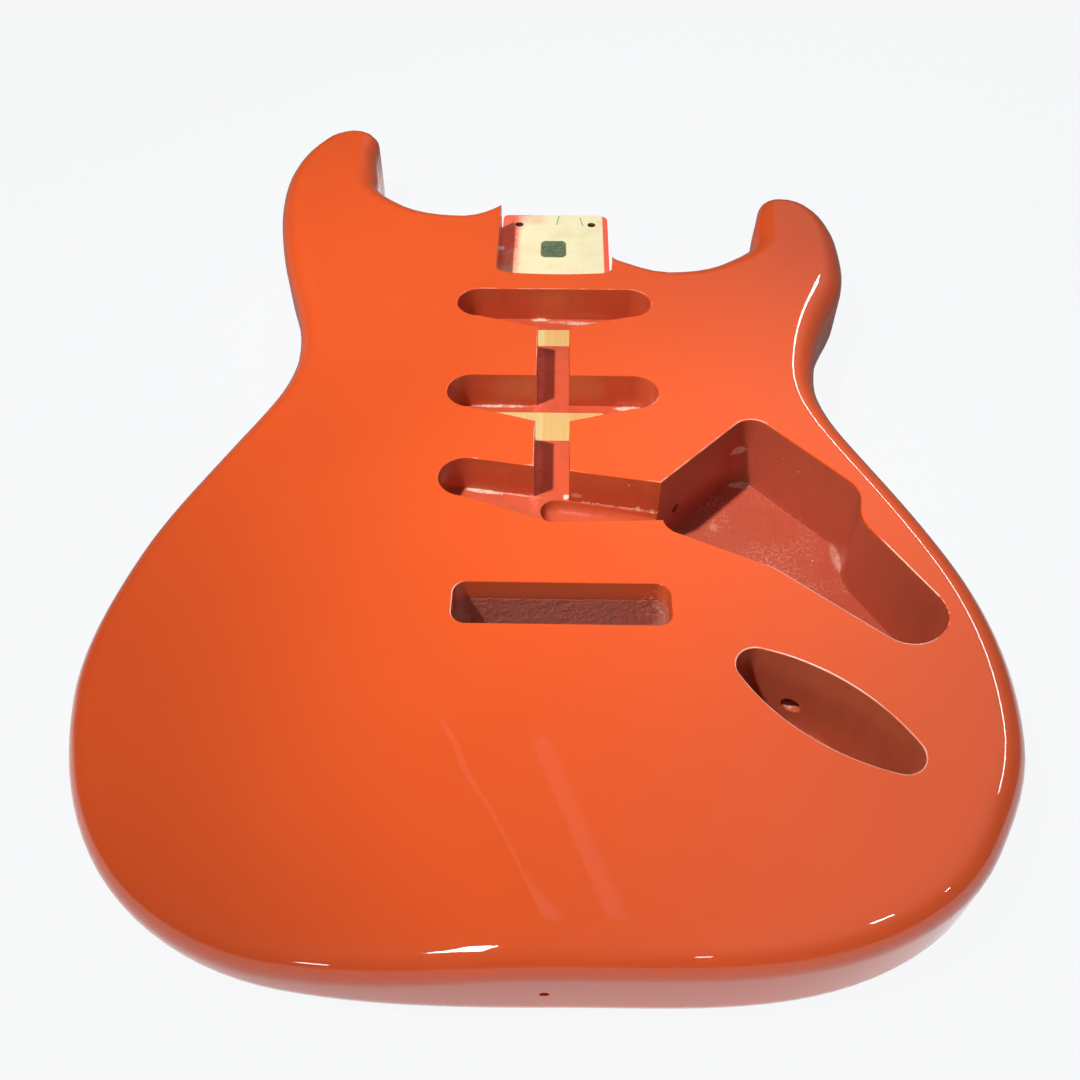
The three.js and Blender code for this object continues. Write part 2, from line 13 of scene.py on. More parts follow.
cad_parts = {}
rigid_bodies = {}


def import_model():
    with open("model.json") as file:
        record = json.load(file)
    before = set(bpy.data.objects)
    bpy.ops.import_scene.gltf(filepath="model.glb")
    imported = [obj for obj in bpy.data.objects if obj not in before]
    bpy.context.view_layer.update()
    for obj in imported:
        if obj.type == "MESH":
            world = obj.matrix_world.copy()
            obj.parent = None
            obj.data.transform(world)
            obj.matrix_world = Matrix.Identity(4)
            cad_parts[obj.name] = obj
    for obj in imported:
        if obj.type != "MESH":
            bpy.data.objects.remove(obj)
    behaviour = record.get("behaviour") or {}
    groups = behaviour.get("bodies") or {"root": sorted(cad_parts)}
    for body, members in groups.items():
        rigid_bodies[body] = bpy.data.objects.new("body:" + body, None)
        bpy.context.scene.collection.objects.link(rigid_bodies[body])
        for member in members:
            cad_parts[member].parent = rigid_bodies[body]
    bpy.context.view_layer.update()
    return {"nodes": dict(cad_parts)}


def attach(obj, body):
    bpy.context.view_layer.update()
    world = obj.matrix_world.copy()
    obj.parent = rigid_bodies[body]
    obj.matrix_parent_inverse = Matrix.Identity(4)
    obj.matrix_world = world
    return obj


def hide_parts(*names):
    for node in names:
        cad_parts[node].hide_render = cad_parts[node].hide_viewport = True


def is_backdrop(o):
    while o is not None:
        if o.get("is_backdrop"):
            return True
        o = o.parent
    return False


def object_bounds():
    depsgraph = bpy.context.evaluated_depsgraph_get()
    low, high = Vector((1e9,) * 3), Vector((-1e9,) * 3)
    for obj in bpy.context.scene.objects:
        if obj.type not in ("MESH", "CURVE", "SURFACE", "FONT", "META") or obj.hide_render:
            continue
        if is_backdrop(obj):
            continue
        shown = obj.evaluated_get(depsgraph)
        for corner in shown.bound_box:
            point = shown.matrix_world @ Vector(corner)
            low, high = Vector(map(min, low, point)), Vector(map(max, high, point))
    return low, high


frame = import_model()

# %% [markdown]
# ## Camera
# The photograph looks down over the butt end towards the neck with a wide lens. The camera's
# place, tilt and lens come from fitting the known cavities to the picture. A fit finds them all
# together, where a camera moved by hand trades one error for another.

# %% Camera
CAMERA_PLACE = Vector((0.0009, -0.4256, 0.33067))
CAMERA_TILT = math.radians(41.80)
CAMERA_TURN = math.radians(1.02)
CAMERA_ROLL = math.radians(0.05)
SENSOR_WIDTH = 36
LENS = 34.88
NEAREST_SEEN = 0.01

camera_data = bpy.data.cameras.new("camera")
camera_data.sensor_width = SENSOR_WIDTH
camera_data.lens = LENS
camera_data.clip_start = NEAREST_SEEN
camera = bpy.data.objects.new("camera", camera_data)
bpy.context.scene.collection.objects.link(camera)
camera.location = CAMERA_PLACE
camera.rotation_euler = (CAMERA_TILT, CAMERA_ROLL, CAMERA_TURN)
bpy.context.scene.camera = camera
print("camera lens", LENS, "mm, place", [round(v, 3) for v in camera.location])

# %% [markdown]
# ## One skin of lacquer over three boards
# On the real body the lacquer hides the glue joints: the boards are sprayed as one. So the
# visible skin starts from copies of the three boards. Joining the copies and deleting the faces
# between them would leave small cracks where the triangles of two boards don't meet, so a
# Boolean union glues them instead. Triangles that lie in one plane are then dissolved, which
# gives clean rims for the bevel.

# %% Helpers for picking pieces
def leave_all():
    if bpy.context.object and bpy.context.object.mode != "OBJECT":
        bpy.ops.object.mode_set(mode="OBJECT")
    bpy.ops.object.select_all(action="DESELECT")


def pick(piece):
    leave_all()
    piece.select_set(True)
    bpy.context.view_layer.objects.active = piece


# %% Copy the boards and merge their vertices
WELD = 0.000002

copies = []
for name, board in sorted(frame["nodes"].items()):
    copy = bpy.data.objects.new(name + "_copy", board.data.copy())
    bpy.context.scene.collection.objects.link(copy)
    copies.append(copy)
    pick(copy)
    bpy.ops.object.mode_set(mode="EDIT")
    bpy.ops.mesh.select_all(action="SELECT")
    bpy.ops.mesh.remove_doubles(threshold=WELD)
    bpy.ops.object.mode_set(mode="OBJECT")
    print(name, len(copy.data.vertices), "vertices")

# %% Glue the copies
bass_wing, skin, treble_wing = copies
skin.name = "lacquered_body"
for wing in (bass_wing, treble_wing):
    pick(skin)
    glue = skin.modifiers.new("glue", "BOOLEAN")
    glue.operation = "UNION"
    glue.solver = "EXACT"
    glue.object = wing
    bpy.ops.object.modifier_apply(modifier="glue")
    bpy.data.objects.remove(wing)

# %% Dissolve the flat triangles and look for cracks
ONE_PLANE = math.radians(0.05)

pick(skin)
bpy.ops.object.mode_set(mode="EDIT")
bpy.ops.mesh.select_mode(type="VERT")
bpy.ops.mesh.select_all(action="SELECT")
bpy.ops.mesh.dissolve_limited(angle_limit=ONE_PLANE)
bpy.ops.mesh.select_all(action="DESELECT")
bpy.ops.mesh.select_non_manifold()
bpy.ops.object.mode_set(mode="OBJECT")
open_vertices = sum(v.select for v in skin.data.vertices)
print("skin:", len(skin.data.polygons), "faces, open vertices:", open_vertices)

# %% [markdown]
# ## The wall under the tremolo slot's lip
# On the real body the rough wall below the slot's lip stands almost flush with it. It could be
# routed again with a Boolean, but a step this small is quicker to move by hand: the wall's
# vertices are selected by their place, with its round corners, and slid along Y.

# %% Slide the wall forward
SLOT_MIDDLE = 0.0042
SLOT_HALF = 0.0383
SLOT_CORNER = 0.005
WALL_Y = -0.18805
LIP_Z = 0.03545
WALL_SLIDE = 0.0015
ON_THE_WALL = 0.0001

bpy.ops.object.mode_set(mode="EDIT")
bpy.ops.mesh.select_all(action="DESELECT")
bpy.ops.object.mode_set(mode="OBJECT")
wall_vertices = 0
for vertex in skin.data.vertices:
    side = abs(vertex.co.x - SLOT_MIDDLE)
    if side > SLOT_HALF + WELD or vertex.co.z > LIP_Z + WELD:
        continue
    into_corner = max(side - (SLOT_HALF - SLOT_CORNER), 0)
    wall = WALL_Y - SLOT_CORNER + math.sqrt(max(SLOT_CORNER ** 2 - into_corner ** 2, 0))
    vertex.select = abs(vertex.co.y - wall) < ON_THE_WALL
    wall_vertices += vertex.select
bpy.ops.object.mode_set(mode="EDIT")
bpy.ops.transform.translate(value=(0, -WALL_SLIDE, 0))
bpy.ops.object.mode_set(mode="OBJECT")
print("vertices of the wall moved:", wall_vertices)

# %% [markdown]
# ## Telling the cavities from the outside
# The outside is rubbed down and polished, the cavities are left as they were sprayed, and the
# pocket's floor was masked off and is mostly bare wood. Each gets its own material slot, and a
# fourth is for the rims. Picking hundreds of faces by their place would be slow and easy to get
# wrong, so a seam is marked on every sharp rim that lies in the front or the back plane, and the
# faces linked to the cavities' floors inside the seams are the cavities.

# %% Seams on the rims
TOP = 0.04445
FLAT = 0.00003
SHARP = math.radians(32)

bpy.ops.object.mode_set(mode="EDIT")
bpy.ops.mesh.select_mode(type="EDGE")
bpy.ops.mesh.select_all(action="DESELECT")
bpy.ops.mesh.edges_select_sharp(sharpness=SHARP)
bpy.ops.object.mode_set(mode="OBJECT")
points = skin.data.vertices
for edge in skin.data.edges:
    heights = [points[v].co.z for v in edge.vertices]
    edge.use_seam = edge.select and (min(heights) > TOP - FLAT or max(heights) < FLAT)
print("rim edges:", sum(edge.use_seam for edge in skin.data.edges))

# %% Four material slots
lacquer = bpy.data.materials.new("orange_red_lacquer")
cavity_lacquer = bpy.data.materials.new("cavity_lacquer")
pocket_wood = bpy.data.materials.new("pocket_floor_wood")
rim_lacquer = bpy.data.materials.new("rim_lacquer")
skin.data.materials.clear()
for material in (lacquer, cavity_lacquer, pocket_wood, rim_lacquer):
    material.use_nodes = True
    skin.data.materials.append(material)
OUTSIDE, CAVITY, POCKET, RIM = range(4)
print("slots:", [material.name for material in skin.data.materials])

# %% Pick floors by their height and their area (left, right, near, far)
LEVEL = 0.99


def within(face, area):
    left, right, near, far = area
    return left < face.center.x < right and near < face.center.y < far


def floor_faces(height, area):
    return [
        face for face in skin.data.polygons
        if face.normal.z > LEVEL and abs(face.center.z - height) < FLAT and within(face, area)
    ]


# %% Faces of the cavities
CAVITY_FLOORS = (0.02725, 0.00745, 0.00635)
CAVITY_AREA = (-0.045, 0.135, -0.26, -0.01)

pick(skin)
bpy.ops.object.mode_set(mode="EDIT")
bpy.ops.mesh.select_mode(type="FACE")
bpy.ops.mesh.select_all(action="DESELECT")
bpy.ops.object.mode_set(mode="OBJECT")
for height in CAVITY_FLOORS:
    for face in floor_faces(height, CAVITY_AREA):
        face.select = True
bpy.ops.object.mode_set(mode="EDIT")
bpy.ops.mesh.select_linked(delimit={"SEAM"})
skin.active_material_index = CAVITY
bpy.ops.object.material_slot_assign()
bpy.ops.object.mode_set(mode="OBJECT")

# %% Faces of the pocket's floor and of its screw holes
POCKET_FLOOR = 0.02855
POCKET_AREA = (-0.03, 0.03, -0.005, 0.08)
SCREW_AREA = (-0.024, 0.024, -0.005, 0.072)

for face in floor_faces(POCKET_FLOOR, POCKET_AREA):
    face.material_index = POCKET
for face in skin.data.polygons:
    if within(face, SCREW_AREA) and FLAT < face.center.z < POCKET_FLOOR - FLAT:
        face.material_index = POCKET
slots = [face.material_index for face in skin.data.polygons]
print("faces per slot:", [slots.count(slot) for slot in (OUTSIDE, CAVITY, POCKET, RIM)])

# %% [markdown]
# ## Soft rims
# Sanding and lacquer leave every routed rim slightly round, and the rounding catches a thin
# bright line round the cavities. A narrow bevel does the same, and weighted normals keep the
# large flat faces flat next to it. The bevel goes by edge weight, and only the rims in the front
# and the back plane get one: inner corners stay sharp, as a router leaves them, and the edges of
# the step under the slot's lip lie too close together for a bevel. Edges that still turn by more
# than 32 degrees are marked sharp before the surface is shaded smooth. The bevel's small faces
# then get the rims' slot, inside two areas that keep out the body's own rounded edge.

# %% Round the rims
RIM_RADIUS = 0.0005
RIM_SEGMENTS = 3

pick(skin)
bpy.ops.object.mode_set(mode="EDIT")
bpy.ops.mesh.select_mode(type="EDGE")
bpy.ops.mesh.select_all(action="DESELECT")
bpy.ops.object.mode_set(mode="OBJECT")
for edge in skin.data.edges:
    edge.select = edge.use_seam
bpy.ops.object.mode_set(mode="EDIT")
bpy.ops.transform.edge_bevelweight(value=1)
bpy.ops.object.mode_set(mode="OBJECT")

rims = skin.modifiers.new("rims", "BEVEL")
rims.width = RIM_RADIUS
rims.segments = RIM_SEGMENTS
rims.limit_method = "WEIGHT"
rims.use_clamp_overlap = False
bpy.ops.object.modifier_apply(modifier="rims")

# %% Shade the surface smooth between its sharp edges
FLAT_FACES_FIRST = 100

bpy.ops.object.mode_set(mode="EDIT")
bpy.ops.mesh.select_all(action="DESELECT")
bpy.ops.mesh.edges_select_sharp(sharpness=SHARP)
bpy.ops.mesh.mark_sharp()
bpy.ops.object.mode_set(mode="OBJECT")
bpy.ops.object.shade_smooth()
flat = skin.modifiers.new("flat faces stay flat", "WEIGHTED_NORMAL")
flat.weight = FLAT_FACES_FIRST
flat.keep_sharp = True
bpy.ops.object.modifier_apply(modifier="flat faces stay flat")
print("sharp edges:", sum(edge.use_edge_sharp for edge in skin.data.edges))

# %% Faces of the rounded rims
TURNED_OUT = 0.05
RIM_FACE_LARGEST = 0.00002
FRONT_RIMS = (-0.1, 0.1, -0.27, 0.079)
FAR_RIMS = (0.1, 0.132, -0.265, -0.17)

rim_faces = 0
for face in skin.data.polygons:
    rounded = face.center.z > TOP - RIM_RADIUS and TURNED_OUT < face.normal.z < LEVEL
    if not rounded or face.area >= RIM_FACE_LARGEST or face.material_index == POCKET:
        continue
    if within(face, FRONT_RIMS) or within(face, FAR_RIMS) or face.material_index == CAVITY:
        face.material_index = RIM
        rim_faces += 1
print("skin with rims:", len(skin.data.polygons), "faces, rim faces:", rim_faces)

# %% The skin stands for the three boards
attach(skin, "root")
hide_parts(*sorted(frame["nodes"]))

# %% [markdown]
# ## Helpers for materials
# A material is built from nodes. Small helpers put and join them: ramp turns one range of
# numbers into another, tint mixes two colours by a mask, and lay does so at a given strength.
# The effects that come back are node groups: a soft-edged box and a soft-edged blot that say
# where a mark lies, wood grain that runs along the body, and scattered specks. Painted pictures
# would need a map of the surface, where these groups only read the place of a point. They give
# masks, and the shaders stay in the materials. A box's softness and wobble are in millimetres,
# as its corners are, and a blot's are shares of its size.

# %% Put and join nodes
def wire(tree, node, inputs):
    for name, value in inputs.items():
        if isinstance(value, bpy.types.NodeSocket):
            tree.links.new(value, node.inputs[name])
        else:
            node.inputs[name].default_value = value


def put(tree, kind, inputs, **settings):
    node = tree.nodes.new(kind)
    for name, value in settings.items():
        setattr(node, name, value)
    wire(tree, node, inputs)
    return node


def place_of(tree):
    return tree.nodes.new("ShaderNodeTexCoord").outputs["Object"]


def facing_up(tree):
    normal = tree.nodes.new("ShaderNodeNewGeometry").outputs["Normal"]
    return put(tree, "ShaderNodeSeparateXYZ", {0: normal}).outputs[2]


# %% Sums with numbers, vectors and colours
def calc(tree, operation, first, second):
    return put(tree, "ShaderNodeMath", {0: first, 1: second}, operation=operation).outputs[0]


def times(tree, first, second):
    return calc(tree, "MULTIPLY", first, second)


def vector_calc(tree, operation, first, second):
    node = put(tree, "ShaderNodeVectorMath", {0: first, 1: second}, operation=operation)
    return node.outputs[0]


def length_of(tree, vector):
    node = put(tree, "ShaderNodeVectorMath", {0: vector}, operation="LENGTH")
    return node.outputs["Value"]


def ramp(tree, value, start, end, first=0.0, last=1.0, curve="LINEAR"):
    node = put(
        tree, "ShaderNodeMapRange", {0: value, 1: start, 2: end, 3: first, 4: last},
        interpolation_type=curve,
    )
    return node.outputs[0]


def noise(tree, place, scale, detail, roughness=0.5):
    return put(tree, "ShaderNodeTexNoise", {
        "Vector": place, "Scale": scale, "Detail": detail, "Roughness": roughness,
    }).outputs[0]


def tint(tree, factor, below, above):
    node = put(tree, "ShaderNodeMix", {0: factor, 6: below, 7: above}, data_type="RGBA")
    return node.outputs[2]


def lay(tree, colour, mask, strength, shade):
    return tint(tree, times(tree, mask, strength), colour, shade)


# %% Make and use node groups
def new_group(name, vectors, numbers, masks):
    group = bpy.data.node_groups.new(name, "ShaderNodeTree")
    for way, kind, sockets in (
        ("INPUT", "NodeSocketVector", vectors),
        ("INPUT", "NodeSocketFloat", numbers),
        ("OUTPUT", "NodeSocketFloat", masks),
    ):
        for socket in sockets:
            group.interface.new_socket(socket, in_out=way, socket_type=kind)
    given = group.nodes.new("NodeGroupInput").outputs
    return group, given, group.nodes.new("NodeGroupOutput")


def use(tree, group, **inputs):
    return put(tree, "ShaderNodeGroup", inputs, node_tree=group).outputs


# %% A box whose edges are soft and wobble with noise
BOX_EDGE_NOISE = {"Scale": 420.0, "Detail": 3.0}
NOISE_MIDDLE = 0.5

soft_box, given, result = new_group(
    "soft_box", ["Vector", "Low", "High"], ["Softness", "Wobble"], ["Mask"],
)
drift = put(soft_box, "ShaderNodeTexNoise", {"Vector": given["Vector"], **BOX_EDGE_NOISE})
centred = vector_calc(soft_box, "SUBTRACT", drift.outputs["Color"], (NOISE_MIDDLE,) * 3)
wobble = put(
    soft_box, "ShaderNodeVectorMath", {0: centred, "Scale": given["Wobble"]}, operation="SCALE",
)
wandering = vector_calc(soft_box, "ADD", given["Vector"], wobble.outputs[0])
steps = []
for bound in ("Low", "High"):
    start = vector_calc(soft_box, "SUBTRACT", given[bound], given["Softness"])
    end = vector_calc(soft_box, "ADD", given[bound], given["Softness"])
    step = put(
        soft_box, "ShaderNodeMapRange", {6: wandering, 7: start, 8: end},
        data_type="FLOAT_VECTOR", interpolation_type="SMOOTHSTEP",
    )
    steps.append(step.outputs[1])
between = vector_calc(soft_box, "SUBTRACT", *steps)
along_x, along_y, along_z = put(soft_box, "ShaderNodeSeparateXYZ", {0: between}).outputs
in_plan = times(soft_box, along_x, along_y)
wire(soft_box, result, {"Mask": times(soft_box, in_plan, along_z)})

# %% A blot: a soft ellipsoid with an uneven edge
BLOT_EDGE_NOISE = (900.0, 4.0)

soft_blot, given, result = new_group(
    "soft_blot", ["Vector", "Centre", "Size"], ["Softness", "Wobble"], ["Mask"],
)
edge_noise = noise(soft_blot, given["Vector"], *BLOT_EDGE_NOISE)
centred = calc(soft_blot, "SUBTRACT", edge_noise, NOISE_MIDDLE)
uneven = times(soft_blot, centred, given["Wobble"])
offset = vector_calc(soft_blot, "SUBTRACT", given["Vector"], given["Centre"])
scaled = vector_calc(soft_blot, "DIVIDE", offset, given["Size"])
away = calc(soft_blot, "ADD", length_of(soft_blot, scaled), uneven)
inner = calc(soft_blot, "SUBTRACT", 1.0, given["Softness"])
outer = calc(soft_blot, "ADD", 1.0, given["Softness"])
wire(soft_blot, result, {"Mask": ramp(soft_blot, away, inner, outer, 1.0, 0.0, "SMOOTHSTEP")})

# %% Grain along the body
GRAINS = (
    ("Fine", (1400, 28, 1400), 4.0),
    ("Broad", (210, 9, 210), 2.0),
)

wood_grain, given, result = new_group("wood_grain", ["Vector"], [], ["Fine", "Broad"])
for socket, stretch, detail in GRAINS:
    along = put(wood_grain, "ShaderNodeMapping", {"Vector": given["Vector"], "Scale": stretch})
    wire(wood_grain, result, {socket: noise(wood_grain, along.outputs[0], 1.0, detail)})

# %% Scattered specks
specks, given, result = new_group("specks", ["Vector"], ["Scale", "Size", "Share"], ["Mask"])
cells = put(specks, "ShaderNodeTexVoronoi", {"Vector": given["Vector"], "Scale": given["Scale"]})
close = calc(specks, "LESS_THAN", cells.outputs["Distance"], given["Size"])
draw = put(specks, "ShaderNodeSeparateColor", {0: cells.outputs["Color"]}).outputs[0]
chosen = calc(specks, "LESS_THAN", draw, given["Share"])
wire(specks, result, {"Mask": times(specks, close, chosen)})
print("groups:", [group.name for group in bpy.data.node_groups])

# %% Masks with their places in millimetres
def millimetres(*values):
    return tuple(value / 1000 for value in values)


def box_mask(tree, place, low, high, softness=0.3, wobble=0.0):
    return use(
        tree, soft_box, Vector=place, Low=millimetres(*low), High=millimetres(*high),
        Softness=softness / 1000, Wobble=wobble / 1000,
    )["Mask"]


def blot_mask(tree, place, centre, size, softness, wobble):
    return use(
        tree, soft_blot, Vector=place, Centre=millimetres(*centre), Size=millimetres(*size),
        Softness=softness, Wobble=wobble,
    )["Mask"]


def turned_about(tree, place, x, y, degrees):
    moved = vector_calc(tree, "ADD", place, millimetres(-x, -y, 0))
    turn = (0, 0, math.radians(degrees))
    return put(tree, "ShaderNodeMapping", {"Vector": moved, "Rotation": turn}).outputs[0]


# %% [markdown]
# ## Outside lacquer
# A solid orange-red colour under a clear, polished coat. One glossy layer would tint its own
# reflections, so the Principled shader's coat gives the two layers: the paint below is nearly
# matt, and only the coat mirrors the room. Sprayed paint is never quite even, so a wide, faint
# cloud of a deeper red lies in the colour.

# %% Lacquer material
LACQUER = (0.89, 0.118, 0.023, 1)
DEEP_LACQUER = (0.835, 0.096, 0.018, 1)
CLOUD_NOISE = (14.0, 3.0)
LACQUER_FINISH = {
    "Roughness": 0.6, "Specular IOR Level": 0.1,
    "Coat Weight": 1.0, "Coat Roughness": 0.03, "Coat IOR": 1.5,
}


def clouded(tree, place):
    return tint(tree, noise(tree, place, *CLOUD_NOISE), LACQUER, DEEP_LACQUER)


tree = lacquer.node_tree
shader = tree.nodes["Principled BSDF"]
wire(tree, shader, {"Base Color": clouded(tree, place_of(tree)), **LACQUER_FINISH})
print("outside lacquer:", len(tree.nodes), "nodes")

# %% [markdown]
# ## Cavity lacquer
# Inside the cavities the same paint lies thin and rough over router marks, a little greyer in the
# jack cavity, and with runs down the walls. The floors are painted brighter than the walls, as
# painted light and shade, and the control cavity is painted darker, as painted shade. It could be
# one material for each cavity, but the marks run from one into the next, so one material tells
# the cavities apart by soft boxes in the body's own coordinates.

# %% Paint on the walls and floors
# painted light and shade: the walls are drawn darker and the floors brighter, by how far each
# face turns up
SHADED_WALL_PAINT = (0.60, 0.098, 0.033, 1)
LIT_FLOOR_PAINT = (0.70, 0.112, 0.046, 1)
CONTROL_SHADE_PAINT = (0.40, 0.074, 0.045, 1)
JACK_PAINT = (0.59, 0.122, 0.054, 1)
FLOOR_FACES_UP = (0.3, 0.9)
CONTROL_SHADE_SHARE = 0.65
CONTROL_CAVITY = ((45, -260, 5), (150, -90, 44))
JACK_FRAME = (91, -236, 34.6)
JACK_CAVITY = ((-42, -16, 5), (42, 16, 46))

tree = cavity_lacquer.node_tree
shader = tree.nodes["Principled BSDF"]
place = place_of(tree)
on_floors = ramp(tree, facing_up(tree), *FLOOR_FACES_UP)
colour = tint(tree, on_floors, SHADED_WALL_PAINT, LIT_FLOOR_PAINT)
# painted shade: the control cavity is drawn darker
in_control = box_mask(tree, place, *CONTROL_CAVITY, softness=3)
colour = lay(tree, colour, in_control, CONTROL_SHADE_SHARE, CONTROL_SHADE_PAINT)
along_jack = turned_about(tree, place, *JACK_FRAME)
in_jack = box_mask(tree, along_jack, *JACK_CAVITY, softness=1)
colour = tint(tree, in_jack, colour, JACK_PAINT)

# %% Runs down the walls
RUN_PAINT = (0.36, 0.060, 0.024, 1)
RUN_STRETCH = (180, 180, 60)
RUN_NOISE = (1.0, 4.0)
RUN_RANGE = (0.45, 0.75, 0.0, 0.22)

down = put(tree, "ShaderNodeMapping", {"Vector": place, "Scale": RUN_STRETCH})
runs = ramp(tree, noise(tree, down.outputs[0], *RUN_NOISE), *RUN_RANGE)
colour = tint(tree, runs, colour, RUN_PAINT)

# %% [markdown]
# ## Dried pools, dust, specks and painted light
# Wet paint gathers at the foot of the far walls, and the pale patches on it there are painted
# highlights. Along the channel's left wall a brighter red is painted light, bounced into the
# wall's shadow. Dust sticks to the floors, and the wiring groove's far edge tore under the
# router.
# These marks are too thin to need a shape of their own, so they are painted as blots, broken up
# by noise, from one table: where a blot lies, its half sizes, its strength and its colour.

# %% Dried pools, glue, painted highlights and painted bounced light
# painted light: a brighter red for light bounced into the shadow by the channel's left wall
BOUNCED_LIGHT_RED = (0.98, 0.20, 0.13, 1)
PALE = (0.86, 0.46, 0.36, 1)
CREAM = (0.90, 0.72, 0.58, 1)
GREY_GLUE = (0.80, 0.50, 0.42, 1)
GROOVE_FRAME = (0, -142.55, 9.6)
PAINT_NOISE = (420.0, 5.0, 0.7)
PATCHY_RANGE = (0.36, 0.52, 0.25)

along_groove = turned_about(tree, place, *GROOVE_FRAME)
MARKS_AND_PAINTED_LIGHT = (
    # painted highlights: pale patches on the pooled lacquer at the foot of the far walls of the
    # neck, middle and bridge cavities
    (place, (-6.7, -13.1, 27.2), (4.2, 1.0, 0.9), 0.9, CREAM),
    (place, (5.0, -14.6, 27.2), (8.0, 1.2, 0.6), 0.6, PALE),
    (place, (16.0, -15.8, 27.2), (9.5, 1.3, 0.6), 0.75, CREAM),
    (place, (-23.0, -75.8, 27.2), (11.0, 0.9, 0.7), 0.8, CREAM),
    (place, (33.0, -76.7, 27.2), (5.5, 1.3, 0.8), 0.95, CREAM),
    (along_groove, (-30.0, 9.5, 27.2), (8.0, 1.0, 0.6), 0.95, CREAM),
    (along_groove, (-15.0, 10.1, 27.2), (9.0, 0.5, 0.5), 0.7, PALE),
    (place, (5.9, -131.0, 27.4), (1.2, 1.3, 1.3), 1.0, CREAM),
    (place, (9.8, -133.6, 31.0), (2.1, 2.0, 1.4), 0.6, PALE),
    (along_groove, (33.2, 10.4, 28.3), (0.9, 1.0, 1.2), 0.8, CREAM),
    (along_groove, (39.0, 10.4, 28.0), (1.1, 1.0, 0.9), 0.7, CREAM),
    (place, (78.0, -103.2, 27.6), (3.8, 3.0, 1.9), 0.95, GREY_GLUE),
    (place, (81.0, -103.2, 7.4), (5.5, 1.8, 1.2), 0.75, GREY_GLUE),
    (place, (116.2, -143.5, 7.4), (2.0, 8.0, 1.6), 0.3, GREY_GLUE),
    (place, (117.0, -147.5, 7.4), (1.2, 4.0, 2.4), 0.4, PALE),
    (place, (68.0, -128.3, 7.4), (1.6, 2.4, 0.6), 0.25, GREY_GLUE),
    (place, (85.4, -220.0, 14.4), (3.4, 1.5, 2.4), 0.85, PALE),
    # painted light: brighter red bounced into the shadow along the channel's left wall
    (place, (-6.8, -52.0, 27.2), (3.0, 26.0, 1.5), 0.8, BOUNCED_LIGHT_RED),
    (place, (-6.8, -116.0, 27.2), (3.0, 20.0, 1.5), 0.8, BOUNCED_LIGHT_RED),
)
cloud = noise(tree, place, *PAINT_NOISE)
patchy = ramp(tree, cloud, *PATCHY_RANGE)
for where, centre, size, strength, shade in MARKS_AND_PAINTED_LIGHT:
    mark_blot = blot_mask(tree, where, centre, size, softness=0.3, wobble=1.1)
    colour = lay(tree, colour, times(tree, mark_blot, patchy), strength, shade)
print("dried pools:", len(MARKS_AND_PAINTED_LIGHT))

# %% Dust in drifts on the control cavity's floor
CONTROL_FLOOR = ((38, -230, 5), (150, -90, 9.5))
GRIT_NOISE = (800.0, 3.0)
GRIT_RANGE = (0.46, 0.78)
DRIFT_NOISE = (55.0, 3.0)
DRIFT_RANGE = (0.42, 0.68, 0.05, 0.6)

grit = ramp(tree, noise(tree, place, *GRIT_NOISE), *GRIT_RANGE)
drifts = ramp(tree, noise(tree, place, *DRIFT_NOISE), *DRIFT_RANGE)
on_floor = box_mask(tree, place, *CONTROL_FLOOR, softness=2)
dust = times(tree, grit, drifts)
colour = tint(tree, times(tree, on_floor, dust), colour, PALE)

# %% The torn edge of the groove, and specks
TORN_EDGE = ((10.5, 9.6, 27.5), (47, 11.4, 28.0))
RAGGED_RANGE = (0.40, 0.47)
SPECKS = {"Scale": 170.0, "Size": 0.06, "Share": 0.14}
SPECK_STRENGTH = 0.7

fuzz = box_mask(tree, along_groove, *TORN_EDGE, softness=0.15, wobble=1.1)
ragged = ramp(tree, cloud, *RAGGED_RANGE)
colour = tint(tree, times(tree, fuzz, ragged), colour, CREAM)

speck = use(tree, specks, Vector=place, **SPECKS)["Mask"]
colour = lay(tree, colour, speck, SPECK_STRENGTH, CREAM)

# %% [markdown]
# ## Bare wood in the channel
# Two short stretches of the channel's floor were masked before spraying and show pale wood with
# its grain along the body. The wood is a little paler left of one line along the body.
# The wood could be a slot of its own, but its edges cross the floor's faces, so a mask lays it
# over the paint.

# %% Grain and tone of the bare wood
PALE_WOOD = (0.82, 0.62, 0.235, 1)
PALEST_WOOD = (0.86, 0.71, 0.35, 1)
WARM_WOOD = (0.80, 0.44, 0.15, 1)
BROWN_WOOD = (0.60, 0.40, 0.15, 1)
DARK_GRAIN = (0.70, 0.33, 0.10, 1)
PALER_LEFT_SIDE = ((-40, -110, 20), (-4.2, -10, 30))
BROWNER_STRETCH = ((-40, -110, 20), (40, -70, 30))
BROWN_SHARE = 0.3
FIBRE_RANGE = (0.55, 0.75, 0.0, 0.5)

grain = use(tree, wood_grain, Vector=place)
paler = box_mask(tree, place, *PALER_LEFT_SIDE, softness=0.2)
warm = tint(tree, grain["Broad"], WARM_WOOD, PALE_WOOD)
wood = tint(tree, paler, warm, tint(tree, grain["Fine"], PALE_WOOD, PALEST_WOOD))
wood = tint(tree, ramp(tree, grain["Fine"], *FIBRE_RANGE), wood, DARK_GRAIN)
wood = lay(tree, wood, box_mask(tree, place, *BROWNER_STRETCH), BROWN_SHARE, BROWN_WOOD)

# %% The two masked stretches
FIRST_STRETCH = ((-7.4, -33.0, 27.0), (7.4, -20.8, 27.5))
SECOND_STRETCH = ((-26.4, -97.6, 27.0), (22.0, -79.8, 27.5))

first, second = (
    box_mask(tree, place, *stretch, softness=0.12, wobble=0.3)
    for stretch in (FIRST_STRETCH, SECOND_STRETCH)
)
bare = calc(tree, "MAXIMUM", first, second)
colour = tint(tree, bare, colour, wood)

